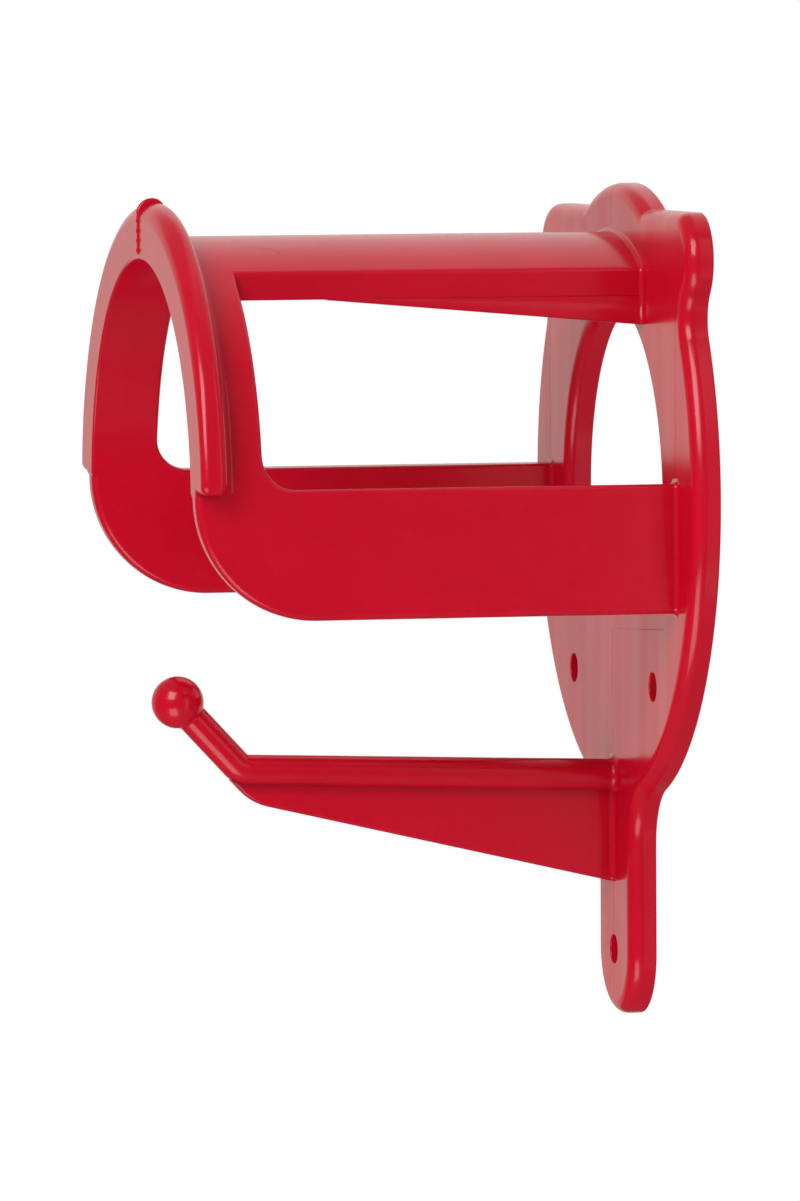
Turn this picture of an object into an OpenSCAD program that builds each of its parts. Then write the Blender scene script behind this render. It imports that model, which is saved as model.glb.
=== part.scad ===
// Bridle rack: a wall plate carries a half-round saddle for a headpiece and a ball-ended hook for reins.
// The wall face lies on Y = 0 and the rack reaches towards -Y, with +Z up and +X to the right.
// The origin is midway between the two upper screw holes, on the wall face.

/* [Wall plate] */
// Thickness of the plate
plate_t = 6; // [4.5:0.5:10]
// Radius of the plate's round body
body_r = 68; // [65:0.5:74]
// Height of the centre of the body and of the saddle above the upper screws
body_z = 41; // [38:0.5:44]
// Height of the dome's top above the body's centre
dome_rise = 65.8; // [62:0.2:70]
// Radius of the dome
dome_r = 58; // [40:0.5:70]
// Drop of the ears' level top below the dome's top
ear_drop = 5.4; // [3:0.2:8]
// Radius of an ear
ear_r = 10; // [7:0.5:12]
// Distance of an ear's centre from the middle
ear_x = 53; // [50:0.5:56]
// Radius of the hollow between the dome and an ear
notch_r = 2; // [1:0.5:4]
// Radius of the hollow below an ear
waist_r = 8; // [4:0.5:14]
// Radius of the hollow where the body runs into the tail
neck_r = 13; // [4:0.5:16]
// Half width of the tail, and the radius of its end
tail_r = 14; // [10:0.5:18]
// Radius of the rounded front edge
plate_edge_r = 2.5; // [0.5:0.25:3]

/* [Window in the plate] */
// Radius of the window
window_r = 40.5; // [34:0.5:44]
// Drop of the window's centre below the body's centre
window_drop = 1.4; // [0:0.2:3]
// Drop of the window's level sill below the body's centre
sill_drop = 24; // [20:0.5:28]
// Radius of the sill's corners
sill_r = 14; // [6:0.5:18]
// Radius of the window's rounded front edge
window_edge_r = 2; // [0.5:0.25:2]

/* [Screw holes] */
// Diameter of a screw hole
screw_d = 6.2; // [4:0.1:8]
// Distance between the two upper screws
screw_pitch = 67; // [60:1:74]
// Drop of the lower screw below the upper ones
tail_screw_drop = 59; // [52:1:66]

/* [Saddle] */
// Inner radius of the arch, and half the clear width between the arms
arch_r = 50.5; // [48:0.5:52]
// Wall of the arch and of the arms
arch_t = 4.8; // [3.4:0.2:5.6]
// Reach of the arms' front edge from the wall
arm_front = 110; // [90:0.2:130]
// Depth of the arch from its rear edge to the arms' front edge
band_w = 14.5; // [10:0.1:20]
// Height of the arms' top edge above the body's centre
arm_rise = 3.2; // [0:0.2:6]
// Drop of the arms' bottom edge below the body's centre
arm_drop = 24.2; // [20:0.2:29]
// Radius of the arms' lower front corner
arm_nose_r = 26; // [10:1:30]
// Radius in the corner between the arch and an arm
arm_crook_r = 7; // [2:0.5:12]
// Radius of the arms' rounded lower edges
arm_edge_r = 1.4; // [0.4:0.1:1.6]

/* [Stop rim] */
// Height of the rim above the arch
rim_h = 7.2; // [4:0.2:10]
// Thickness of the rim from front to rear
rim_t = 5.8; // [3:0.2:6]
// Step of the rim's face in front of the arms
rim_step = 0.2; // [0.2:0.1:2]
// Height of the rim's lower ends above the saddle's centre
rim_end_up = 2.6; // [0.5:0.1:6]
// Radius of the rim's outer edges
rim_edge_r = 2.2; // [0.4:0.1:2.4]
// Radius of the corner at the rim's lower ends
rim_toe_r = 3; // [1:0.5:5]
// Radius of the hollow between the rim's rear face and the arch
rim_foot_r = 2; // [0.5:0.1:4]
// Width of the weld bead where the rim's halves meet
weld_w = 1.2; // [0.6:0.1:3]
// Height of the bead on the rim's front face
weld_h = 0.6; // [0.2:0.1:1.2]
// Height of the bead over the rim's crown
weld_top_h = 1.2; // [0.4:0.1:2]

/* [Spine] */
// Half width of the spine
spine_w = 27.3; // [22:0.1:31]
// Height of the spine's side walls below the eaves
side_h = 5.9; // [5:0.1:9]
// Wall of the spine
spine_t = 4.5; // [3:0.25:5.5]
// Radius of the eaves
eave_r = 1.5; // [0.5:0.25:2]
// Depth of a skirt at the plate
skirt_h = 6.2; // [3:0.1:8]
// Depth of a skirt at its front end
skirt_toe_h = 0.4; // [0.4:0.1:2]
// Distance of a skirt's front end from the arch's rear edge
skirt_back = 20.5; // [8:0.5:40]
// Thickness of a skirt
skirt_t = 3.5; // [2:0.25:4]

/* [Hook] */
// Diameter of the bar at the plate
bar_d_root = 7.1; // [6.6:0.1:9]
// Diameter of the bar at its bend
bar_d_tip = 6.6; // [5:0.1:6.6]
// Drop of the bar's root below the upper screws
hook_drop = 21.3; // [17:0.1:25]
// Rise of the bar from the plate to its bend
bar_rise = 3.1; // [0:0.1:6]
// Reach of the bend from the wall
bend_reach = 88.5; // [70:0.5:100]
// Radius of the bar's axis round the bend
elbow_r = 4.2; // [3.6:0.1:8]
// Upward slope of the tip in degrees
tip_slope = 47; // [30:1:65]
// Length of the tip from the bend to the ball's centre
tip_l = 20.2; // [14:0.1:30]
// Diameter of the ball
ball_d = 11.2; // [9.5:0.1:16]
// Diameter of the spigot that carries the ball
spigot_d = 4; // [3:0.1:4.5]
// Length of the spigot past the ball's centre
spigot_past = 1.5; // [0.5:0.1:2.5]
// Thickness of the web
web_t = 3; // [2:0.25:5]
// Depth of the web below the bar's axis at the plate
web_root_h = 23; // [16:0.1:28]
// Depth of the web below the bar's axis at the bend
web_bend_h = 6.7; // [5.5:0.1:9]
// Radius of the web's heel under the bend
heel_r = 12; // [4:0.5:16]

/* [Joints] */
// Depth to which the roots are let into the plate
root_depth = 2; // [1:0.25:3]
// Radius of the hollow round the roots on the plate's face
root_r = 1.5; // [0.5:0.1:3]
// Clearance at each joint between two pieces
joint_gap = 0.1; // [0.05:0.05:0.3]

/* [Hidden] */
plastic_red = "#c4142c";
// Step of a drawn arc in degrees, and the steps round a rounded edge and a rounded corner
arc_step = 6;
edge_steps = 3;
corner_steps = 8;
// Overshoot of a cut past the face that it opens
cut = 1;
// Land at the ends of a hollow, and its overlap with the piece that it is part of
land = 0.2;
lap = 0.3;
// Length by which the bar and the tip run into the elbow, and the elbow's radius over theirs
elbow_lap = 0.2;
elbow_swell = 0.02;
$fn = 96;

// Reach of the rim's faces, of the arch's edges, of a skirt's front end, and of the roots' ends and feet
rim_front = arm_front + rim_step;
rim_rear = rim_front - rim_t;
band_front = rim_rear - joint_gap;
band_rear = arm_front - band_w;
skirt_reach = band_rear - skirt_back;
root_end = plate_t - root_depth + joint_gap;
foot = plate_t + joint_gap;
// Outer radius of the arch and of the rim
arch_out = arch_r + arch_t;
rim_r = arch_out + rim_h;
// Radius of the rim's outer edges, limited by the rim's thickness
rim_round = min(rim_edge_r, rim_t / 2 - land);
// Heights of the plate's tops and sill, of the arms' edges, of the rim's ends and of the spine's edges
dome_top = body_z + dome_rise;
ear_top = dome_top - ear_drop;
sill_z = body_z - sill_drop;
arm_top = body_z + arm_rise;
arm_bottom = body_z - arm_drop;
rim_end = body_z + rim_end_up;
eave_z = body_z + sqrt(pow(arch_out, 2) - pow(spine_w, 2));
spine_low = eave_z - side_h;
// Radius of the nose, limited by the arm's front edge below the rim
nose_r = min(arm_nose_r, rim_end - arm_bottom - 2 * joint_gap);

// Centres of the arcs in the plate's outline
body_c = [0, body_z];
dome_c = [0, dome_top - dome_r];
notch_c = level_touching(dome_c, dome_r + notch_r, ear_top + notch_r);
ear_c = [ear_x, ear_top - ear_r];
waist_c = touching(body_c, body_r + waist_r, ear_c, ear_r + waist_r);
neck_c = [tail_r + neck_r, body_z - sqrt(pow(body_r + neck_r, 2) - pow(tail_r + neck_r, 2))];
tail_c = [0, -tail_screw_drop];
// Centres of the arcs in the window's outline and in the spine's section
window_c = [0, body_z - window_drop];
sill_c = level_touching(window_c, window_r - sill_r, sill_z + sill_r);
eave_c = [spine_w - eave_r, body_z + sqrt(pow(arch_out - eave_r, 2) - pow(spine_w - eave_r, 2))];

// Points of the hook in reach and height
bar_root = [root_end, -hook_drop];
bend = [bend_reach, bar_rise - hook_drop];
bar_slope = heading(bar_root, bend);
bar_dir = turned(bar_slope);
tip_dir = turned(tip_slope);
// Length that the elbow takes from the bar and from the tip, and the elbow's centre
elbow_l = elbow_r * tan((tip_slope - bar_slope) / 2);
elbow_c = bend - elbow_l * bar_dir + elbow_r * [-bar_dir[1], bar_dir[0]];
// Length of the tip up to the ball's surface
tip_seat = tip_l - sqrt(pow(ball_d / 2, 2) - pow(bar_d_tip / 2, 2));

// Angle of the line from one point to another
function heading(from, to) = atan2(to[1] - from[1], to[0] - from[0]);

// Points on an arc about c, from angle a to angle b
function arc(c, r, a, b) =
    let (steps = max(2, ceil(abs(b - a) / arc_step)))
    [for (i = [0 : steps]) c + r * [cos(a + (b - a) * i / steps), sin(a + (b - a) * i / steps)]];

// Point at height z and at distance r from c, on the right
function level_touching(c, r, z) = [c[0] + sqrt(r * r - pow(z - c[1], 2)), z];

// Point at distance r from c and s from d, on the right of the line from c to d
function touching(c, r, d, s) =
    let (
        apart = norm(d - c),
        a = heading(c, d) - acos((r * r + apart * apart - s * s) / (2 * r * apart))
    )
    c + r * [cos(a), sin(a)];

// Crossing of the line through p along a with the line through q along b
function crossing(p, a, q, b) = p + a * cross(q - p, b) / cross(a, b);

// Outline through corners [x, y, radius], each rounded by its radius
function rounded(corners) = [
    for (i = [0 : len(corners) - 1])
        let (
            count = len(corners),
            p = flat(corners[i]),
            r = corners[i][2],
            a = direction(p, flat(corners[(i + count - 1) % count])),
            b = direction(p, flat(corners[(i + 1) % count])),
            half = acos(a * b) / 2,
            c = p + r / sin(half) * direction([0, 0], a + b),
            start = heading(c, p + a * r / tan(half)),
            sweep = (cross(a, b) < 0 ? 1 : -1) * (180 - 2 * half)
        )
        each r == 0 ? [p] : [for (k = [0 : corner_steps]) c + r * turned(start + sweep * k / corner_steps)]
];

function flat(corner) = [corner[0], corner[1]];
function direction(from, to) = (to - from) / norm(to - from);
function turned(a) = [cos(a), sin(a)];

// A list in reverse order
function reversed(list) = [for (i = [len(list) - 1 : -1 : 0]) list[i]];

// Closed outline, counterclockwise, from the points of its right half drawn down from its top point
function both_sides(points) = concat(
    [for (i = [1 : len(points) - 1]) [-points[i][0], points[i][1]]],
    reversed(points)
);

// Outline of the plate, drawn in by inset all round
function plate_outline(inset) = both_sides(concat(
    arc(dome_c, dome_r - inset, 90, heading(dome_c, notch_c)),
    arc(notch_c, notch_r + inset, heading(notch_c, dome_c) + 360, 270),
    arc(ear_c, ear_r - inset, 90, heading(ear_c, waist_c)),
    arc(waist_c, waist_r + inset, heading(waist_c, ear_c), heading(waist_c, body_c) + 360),
    arc(body_c, body_r - inset, heading(body_c, waist_c), heading(body_c, neck_c)),
    arc(neck_c, neck_r + inset, heading(neck_c, body_c), 180),
    arc(tail_c, tail_r - inset, 0, arc_step / 2 - 90)
));

// Outline of the window, widened by outset all round
function window_outline(outset) = both_sides(concat(
    arc(window_c, window_r + outset, 90, heading(window_c, sill_c)),
    arc(sill_c, sill_r + outset, heading(window_c, sill_c), -90)
));

// Outer outline of the spine's section down to a height, grown by grow
function spine_outline(low, grow) = both_sides(concat(
    arc(body_c, arch_out + grow, 90, heading(body_c, eave_c)),
    arc(eave_c, eave_r + grow, heading(body_c, eave_c), 0),
    [[spine_w + grow, low]]
));

// An outline in x and z set upright at a reach from the wall
function standing(points, reach) = [for (p = points) [p[0], -reach, p[1]]];

// Insets and setbacks round an edge of radius r, from its side to its face
function edge_round(r) = [
    for (k = [0 : edge_steps]) let (a = 90 * k / edge_steps) r * [1 - cos(a), 1 - sin(a)]
];

// Solid through rings of equally many points, closed by the first and the last ring
module loft(rings) {
    n = len(rings[0]);
    last = len(rings) - 1;
    sides = [
        for (k = [0 : last - 1], i = [0 : n - 1])
            let (a = k * n + i, b = k * n + (i + 1) % n)
            each [[a, a + n, b + n], [a, b + n, b]]
    ];
    rear = [for (i = [0 : n - 1]) i];
    front = [for (i = [n - 1 : -1 : 0]) last * n + i];
    polyhedron(points = [for (ring = rings) each ring], faces = concat([rear], sides, [front]));
}

// A drawing in x and z, extruded from one reach to another
module upright(from, to) {
    rotate([90, 0, 0]) translate([0, 0, from]) linear_extrude(to - from) children();
}

// A drawing in reach and height, extruded to a thickness about the plane at x
module sideways(x, thickness) {
    translate([x, 0, 0]) rotate([90, 0, -90]) linear_extrude(thickness, center = true) children();
}

// A shape drawn along z, laid on the middle plane at a point, with an upward slope
module on_hook(at, slope) {
    translate([0, -at[0], at[1]]) rotate([90 - slope, 0, 0]) children();
}

// Hole across the plate's full thickness
module screw_hole(x, z) {
    translate([x, cut, z]) rotate([90, 0, 0]) cylinder(d = screw_d, h = plate_t + 2 * cut);
}

// Right half of the saddle's wall, seen from the front, up to a height and grown by grow
module saddle_wall(high, grow) {
    low = arm_bottom - grow;
    edge_r = arm_edge_r + grow;
    intersection() {
        difference() {
            union() {
                translate(body_c) circle(arch_out + grow);
                polygon(rounded([
                    [arch_r - grow, low, edge_r],
                    [arch_out + grow, low, edge_r],
                    [arch_out + grow, body_z, 0],
                    [arch_r - grow, body_z, 0],
                ]));
            }
            translate(body_c) circle(arch_r - grow);
            translate([0, low - cut]) square([arch_r - grow, body_z - low + cut]);
        }
        translate([joint_gap / 2, low]) square([rim_r, high - low]);
    }
}

// Section of a hollow of radius r between a face of its own piece and a face next to it, grown by grow
module hollow(r, grow) {
    difference() {
        translate([-lap, -grow]) square([r + land + lap + grow, r + land + 2 * grow]);
        translate([r + land, r + land]) circle(r - grow);
    }
}

// Hollow at a root along an upright face at x that looks to the right, from one height to another
module root_hollow(x, low, high) {
    translate([x, -foot, low]) linear_extrude(high - low) mirror([0, 1]) hollow(root_r, 0);
}

// Space under the spine, with its walls grown by grow
module spine_inside(grow) {
    wall = spine_t + grow;
    intersection() {
        translate(body_c) circle(arch_out - wall);
        translate([wall - spine_w, spine_low - cut]) square([2 * (spine_w - wall), arch_out]);
    }
}

// Section of the spine, grown by grow on every face
module spine_section(grow) {
    difference() {
        polygon(spine_outline(spine_low - grow, grow));
        spine_inside(grow);
    }
}

// Pockets in the plate's front face for the roots of the arms, the spine and the hook
module root_pockets() {
    floor = plate_t - root_depth;
    for (side = [0, 1]) mirror([side, 0, 0])
        upright(floor, plate_t + cut) saddle_wall(arm_top + joint_gap, joint_gap);
    upright(floor, plate_t + cut) spine_section(joint_gap);
    on_hook([floor, -hook_drop], bar_slope) cylinder(d = bar_d_root + 2 * joint_gap, h = root_depth + cut);
}

module back_plate() {
    color(plastic_red) difference() {
        loft(concat(
            [standing(plate_outline(0), 0)],
            [for (e = edge_round(plate_edge_r)) standing(plate_outline(e[0]), plate_t - e[1])]
        ));
        loft(concat(
            [standing(window_outline(0), -cut)],
            [for (e = edge_round(window_edge_r)) standing(window_outline(e[0]), plate_t - e[1])],
            [standing(window_outline(window_edge_r), plate_t + cut)]
        ));
        for (side = [-1, 1]) screw_hole(side * screw_pitch / 2, 0);
        screw_hole(0, -tail_screw_drop);
        root_pockets();
    }
}

module top_spine() {
    flare = concat([[-land, root_r]], edge_round(root_r));
    color(plastic_red) union() {
        upright(root_end, band_rear - joint_gap) spine_section(0);
        difference() {
            loft([for (e = flare) standing(spine_outline(spine_low, land + e[1]), foot + land + e[0])]);
            upright(foot - cut, foot + root_r + land + cut) spine_inside(-lap);
        }
    }
}

// Skirt under the spine's right eave
module spine_skirt() {
    top = spine_low - joint_gap;
    sideways(spine_w - skirt_t / 2, skirt_t) polygon([
        [foot, top - skirt_h],
        [skirt_reach, top - skirt_toe_h],
        [skirt_reach, top],
        [foot, top],
    ]);
    root_hollow(spine_w, top - skirt_h + lap, top);
}

module left_spine_skirt() {
    color(plastic_red) mirror([1, 0, 0]) spine_skirt();
}

module right_spine_skirt() {
    color(plastic_red) spine_skirt();
}

// Right half of the arch with its leg and arm: the saddle's wall cut to its outline from the side
module arch_arm() {
    high = body_z + rim_r;
    intersection() {
        upright(root_end, arm_front) saddle_wall(high, 0);
        sideways(rim_r / 2, 2 * rim_r) polygon(rounded([
            [root_end, arm_bottom, 0],
            [arm_front, arm_bottom, nose_r],
            [arm_front, rim_end - joint_gap, 0],
            [band_front, rim_end - joint_gap, 0],
            [band_front, high, 0],
            [band_rear, high, 0],
            [band_rear, arm_top, arm_crook_r],
            [root_end, arm_top, 0],
        ]));
    }
    root_hollow(arch_out, arm_bottom + arm_edge_r, arm_top - land);
    mirror([1, 0, 0]) root_hollow(-arch_r, arm_bottom + arm_edge_r, arm_top - land);
}

module left_arch_arm() {
    color(plastic_red) mirror([1, 0, 0]) arch_arm();
}

module right_arch_arm() {
    color(plastic_red) arch_arm();
}

// Right half of the weld bead over the rim's crown and down its front face
module weld_bead() {
    low = body_z + arch_r + rim_round / 2;
    high = body_z + rim_r + weld_top_h;
    front = rim_front + weld_h;
    sideways(joint_gap / 2 + weld_w / 4, weld_w / 2) polygon(rounded([
        [rim_rear, low, 0],
        [rim_front - rim_round / 2, low, 0],
        [front, low + rim_round / 2, weld_h],
        [front, high, rim_round],
        [rim_rear, high, rim_round],
    ]));
}

// Right half of the rim: a revolved section with a rounded toe at its lower end and the bead at its crown
module stop_rim() {
    weld_bead();
    toe_c = [rim_r - rim_toe_r, rim_end + rim_toe_r];
    difference() {
        translate([0, 0, body_z]) rotate([90, 0, 0]) rotate_extrude(angle = 90) {
            polygon(rounded([
                [arch_r, rim_rear, 0],
                [rim_r, rim_rear, rim_round],
                [rim_r, rim_front, rim_round],
                [arch_r, rim_front, rim_round / 2],
            ]));
            translate([arch_out + joint_gap, rim_rear]) rotate(-90) hollow(rim_foot_r, 0);
        }
        upright(rim_rear - rim_foot_r - land - cut, rim_front + cut) {
            translate([0, body_z - cut]) square([rim_r + cut, rim_end_up + cut]);
            translate([-cut, body_z]) square([cut + joint_gap / 2, rim_r + cut]);
            difference() {
                translate([toe_c[0], body_z]) square([rim_toe_r + cut, rim_end_up + rim_toe_r]);
                translate(toe_c) circle(rim_toe_r);
            }
        }
    }
}

module left_stop_rim() {
    color(plastic_red) mirror([1, 0, 0]) stop_rim();
}

module right_stop_rim() {
    color(plastic_red) stop_rim();
}

// Round bar of the hook with its flared root, its elbow and its tip, grown by grow
module hook_rod(grow) {
    root_radius = bar_d_root / 2 + grow;
    tip_radius = bar_d_tip / 2 + grow;
    on_hook(bar_root, bar_slope)
        cylinder(r1 = root_radius, r2 = tip_radius, h = norm(bend - bar_root) - elbow_l + elbow_lap);
    on_hook([foot, tan(bar_slope) * (foot - root_end) - hook_drop], 0)
        rotate_extrude() translate([bar_d_root / 2, 0]) hollow(root_r, grow);
    translate([0, -elbow_c[0], elbow_c[1]]) rotate([90, 0, -90]) rotate([0, 0, bar_slope - 90])
        rotate_extrude(angle = tip_slope - bar_slope)
        translate([elbow_r, 0]) circle(tip_radius + elbow_swell);
    on_hook(bend + (elbow_l - elbow_lap) * tip_dir, tip_slope)
        cylinder(r = tip_radius, h = tip_seat - elbow_l + elbow_lap - joint_gap + grow);
}

module hook_bar() {
    color(plastic_red) union() {
        hook_rod(0);
        on_hook(bend, tip_slope) cylinder(d = spigot_d, h = tip_l + spigot_past);
    }
}

module hook_web() {
    root = [foot, -hook_drop - web_root_h];
    under_bend = bend - [0, web_bend_h];
    nose = bend + bar_d_tip / 2 * [tip_dir[1], -tip_dir[0]];
    heel = crossing(nose, tip_dir, root, under_bend - root);
    color(plastic_red) difference() {
        union() {
            sideways(0, web_t) polygon(rounded([
                [root[0], root[1], 0],
                [heel[0], heel[1], heel_r],
                [nose[0], nose[1], 0],
                [bend[0], bend[1], 0],
                [root[0], -hook_drop, 0],
            ]));
            for (side = [0, 1]) mirror([side, 0, 0]) root_hollow(web_t / 2, root[1] + lap, -hook_drop);
        }
        hook_rod(joint_gap);
    }
}

// Ball turned about the tip's axis, with a bore for the spigot and a seat for the tip
module hook_ball() {
    color(plastic_red) on_hook(bend, tip_slope) rotate_extrude() difference() {
        intersection() {
            translate([0, tip_l]) circle(d = ball_d);
            translate([0, tip_l - ball_d]) square([ball_d, 2 * ball_d]);
        }
        square([spigot_d / 2 + joint_gap, tip_l + spigot_past + joint_gap]);
        square([bar_d_tip / 2 + joint_gap, tip_seat]);
    }
}

back_plate();
top_spine();
left_spine_skirt();
right_spine_skirt();
left_arch_arm();
right_arch_arm();
left_stop_rim();
right_stop_rim();
hook_bar();
hook_web();
hook_ball();
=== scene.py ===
import math
import bmesh
import bpy
import numpy as np
from mathutils import Matrix, Vector
from mathutils.geometry import delaunay_2d_cdt


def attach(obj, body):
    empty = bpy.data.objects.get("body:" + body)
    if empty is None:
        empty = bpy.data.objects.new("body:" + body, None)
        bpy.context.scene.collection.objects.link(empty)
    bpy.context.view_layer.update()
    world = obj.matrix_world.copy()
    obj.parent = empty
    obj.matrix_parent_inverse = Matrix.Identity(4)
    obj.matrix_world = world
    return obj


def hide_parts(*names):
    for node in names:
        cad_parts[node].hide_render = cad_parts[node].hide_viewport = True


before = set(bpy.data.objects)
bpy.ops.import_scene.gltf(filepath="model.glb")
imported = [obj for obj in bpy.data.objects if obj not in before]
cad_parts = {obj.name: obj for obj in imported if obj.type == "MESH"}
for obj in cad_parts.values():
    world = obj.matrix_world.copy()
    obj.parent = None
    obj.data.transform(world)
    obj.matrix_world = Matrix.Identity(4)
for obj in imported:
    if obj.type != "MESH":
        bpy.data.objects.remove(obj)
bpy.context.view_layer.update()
print("stage 1: CAD frame loaded")

# Values that several pieces share. Lengths are in mm until a mesh is made.
# Reach is the distance from the wall, along -Y.
mm = 0.001
bodyZ = 41.0                     # height of the centre of plate, arch and roof
bodyC = np.array([0.0, bodyZ])
plateFront = 6.0                 # reach of the plate's front face
archR, archOut = 50.5, 55.3      # radii of the arch, inside and outside
bandRear, rimRear = 95.5, 104.4  # reach of the rear of the arch and of the rim
rootStart = plateFront - 0.6     # a root runs this far into the plate
sides = ((-1, "left"), (1, "right"))
arcStep, wideArcStep, wideR = 7.5, 1.5, 20  # degrees between an arc's points, finer on radii above wideR
leastSteps, edgeRows = 4, 7      # steps of a short arc, and rows on the quarter circle of a sheet's edge
sameSpot, hair = 1e-6, 0.01      # room for rounding in doubled points and in places


# Unit direction at an angle: its cosine and its sine
def ray(degrees):
    a = np.radians(degrees)
    return np.stack([np.cos(a), np.sin(a)], axis=-1)


# Angle in degrees of the line from a to b
def aim(a, b):
    return math.degrees(math.atan2(b[1] - a[1], b[0] - a[0]))


# Reaches along the hollow of radius r at a root, closer together at the plate
def rootReaches(r):
    return plateFront + r * np.array([0.0, 0.02, 0.07, 0.16, 0.28, 0.44, 0.62, 0.81, 1.0])


# Arc: centre plus radius times the direction, at even angles from a to b, with outward normals.
# A hollow arc looks towards its centre.
def arcLine(c, r, a, b, hollow=False):
    count = max(leastSteps, math.ceil(abs(b - a) / (wideArcStep if r > wideR else arcStep)))
    out = ray(np.linspace(a, b, count + 1))
    return np.asarray(c, float) + r * out, (-out if hollow else out)


# Lines that follow each other, without doubled points
def joined(*lines):
    points = np.concatenate([line[0] for line in lines])
    normals = np.concatenate([line[1] for line in lines])
    keep = np.ones(len(points), bool)
    keep[1:] = np.linalg.norm(np.diff(points, axis=0), axis=1) > sameSpot
    return points[keep], normals[keep]


# Closed loop from its right half, which starts and ends on the middle plane: the half and its mirror
def mirrored(points, normals):
    flip = np.array([-1.0, 1.0])
    return (np.concatenate([points, (points * flip)[-2:0:-1]]),
            np.concatenate([normals, (normals * flip)[-2:0:-1]]))


# Counterclockwise outline through corners (u, v, radius). At each corner an arc touches both sides, its
# centre radius / sin(half the corner) away on the bisector; between arcs are points at most a step apart.
def outlineOf(corners, step):
    c = np.array(corners, float)
    p, r = c[:, :2], c[:, 2]
    toBack, toNext = np.roll(p, 1, 0) - p, np.roll(p, -1, 0) - p
    toBack /= np.linalg.norm(toBack, axis=1, keepdims=True)
    toNext /= np.linalg.norm(toNext, axis=1, keepdims=True)
    lines = []
    for at, radius, a, b in zip(p, r, toBack, toNext):
        along = (b - a) / np.linalg.norm(b - a)
        if radius == 0:
            lines.append((at[None], np.array([[along[1], -along[0]]])))
            continue
        half = math.acos(float(np.clip(a @ b, -1, 1))) / 2
        inward = (a + b) / np.linalg.norm(a + b)
        centre = at + radius / math.sin(half) * inward
        convex = a[0] * b[1] - a[1] * b[0] < 0
        start = aim(centre, at + a * radius / math.tan(half))
        turn = 180 - 2 * math.degrees(half)
        lines.append(arcLine(centre, radius, start, start + (turn if convex else -turn), not convex))
    full = []
    for line, after in zip(lines, lines[1:] + lines[:1]):
        a, b = line[0][-1], after[0][0]
        gap = np.linalg.norm(b - a)
        count = math.ceil(gap / step) - 1
        full.append(line)
        if count > 0:
            t = np.linspace(0, 1, count + 2)[1:-1, None]
            along = (b - a) / gap
            full.append((a + t * (b - a), np.tile([along[1], -along[0]], (count, 1))))
    return joined(*full)


# Whether spots lie inside loops: a line to the right of a spot crosses them an odd number of times
def within(spots, loops):
    odd = np.zeros(len(spots), bool)
    for loop in loops:
        a, b = loop, np.roll(loop, -1, 0)
        y = spots[:, 1:2]
        spans = (a[:, 1] > y) != (b[:, 1] > y)
        rise = np.where(spans, b[:, 1] - a[:, 1], 1)
        x = a[:, 0] + (y - a[:, 1]) * (b[:, 0] - a[:, 0]) / rise
        odd ^= ((spots[:, :1] < x) & spans).sum(1) % 2 == 1
    return odd


# All pairs of the two lists, as the spots of a grid
def gridOf(first, second):
    return np.stack(np.meshgrid(first, second), -1).reshape(-1, 2)


# A piece in the making: points, normals and faces
class Shell:
    def __init__(self):
        self.points, self.normals, self.faces, self.size = [], [], [], 0

    # Takes in points with their normals and gives back their numbers
    def add(self, points, normals):
        self.points.append(points)
        self.normals.append(normals)
        self.size += len(points)
        return np.arange(self.size - len(points), self.size)

    # Quads between rows of equally many points, each row closed to a ring
    def strip(self, rows):
        rows = np.asarray(rows)
        rows = np.concatenate([rows, rows[:, :1]], 1)
        quads = np.stack([rows[:-1, :-1], rows[:-1, 1:], rows[1:, 1:], rows[1:, :-1]], -1)
        self.faces += quads.reshape(-1, 4).tolist()

    # Delaunay triangles inside loops, with spots between them; flats are the same loops drawn flat
    def fill(self, loops, flats, spots=None, spotsFlat=None):
        ids = np.concatenate(loops if spots is None else [*loops, spots])
        flat = np.concatenate(flats if spots is None else [*flats, spotsFlat])
        edges, start = [], 0
        for loop in loops:
            k = np.arange(len(loop))
            edges.append(np.stack([k, np.roll(k, -1)], 1) + start)
            start += len(loop)
        edges = np.concatenate(edges).tolist()
        found = delaunay_2d_cdt([Vector(v) for v in flat], edges, [], 1, sameSpot)
        source = np.array([origin[0] for origin in found[3]])
        triangles = source[np.array(found[2])]
        keep = within(flat[triangles].mean(1), flats)
        self.faces += ids[triangles[keep]].tolist()


# Hollow at a root: near the plate, faces that look along the given axes step out by a quarter circle
def flareRoot(points, normals, r, axes):
    u = np.clip((-points[:, 1] - plateFront) / r, 0, 1)[:, None]
    level = np.sqrt(1 - (1 - u) ** 2)
    section = normals * axes
    tilt = np.linalg.norm(section, axis=1, keepdims=True) * (1 - u)
    bent = section * level + (normals - section) * [1, 0, 1] + np.array([0, -1.0, 0]) * tilt
    return points + section * r * (1 - level), np.where(u < 1, bent, normals)


# Object from a shell: points in metres, faces turned outward, and the surface's own normals.
# A root gets a hollow of radius rootR along the axes.
def makePiece(name, shell, material, nodes, rootR=0, axes=(1, 0, 0)):
    points, normals = np.concatenate(shell.points), np.concatenate(shell.normals)
    normals = normals / np.linalg.norm(normals, axis=1, keepdims=True)
    if rootR:
        points, normals = flareRoot(points, normals, rootR, np.array(axes))
    mesh = bpy.data.meshes.new(name)
    mesh.from_pydata(points * mm, [], shell.faces, shade_flat=False)
    turned = bmesh.new()
    turned.from_mesh(mesh)
    bmesh.ops.recalc_face_normals(turned, faces=turned.faces[:])
    turned.to_mesh(mesh)
    turned.free()
    mesh.normals_split_custom_set_from_vertices(normals)
    mesh.materials.append(material)
    piece = bpy.data.objects.new(name, mesh)
    bpy.context.scene.collection.objects.link(piece)
    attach(piece, "root")
    if nodes:
        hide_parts(*nodes)


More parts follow.
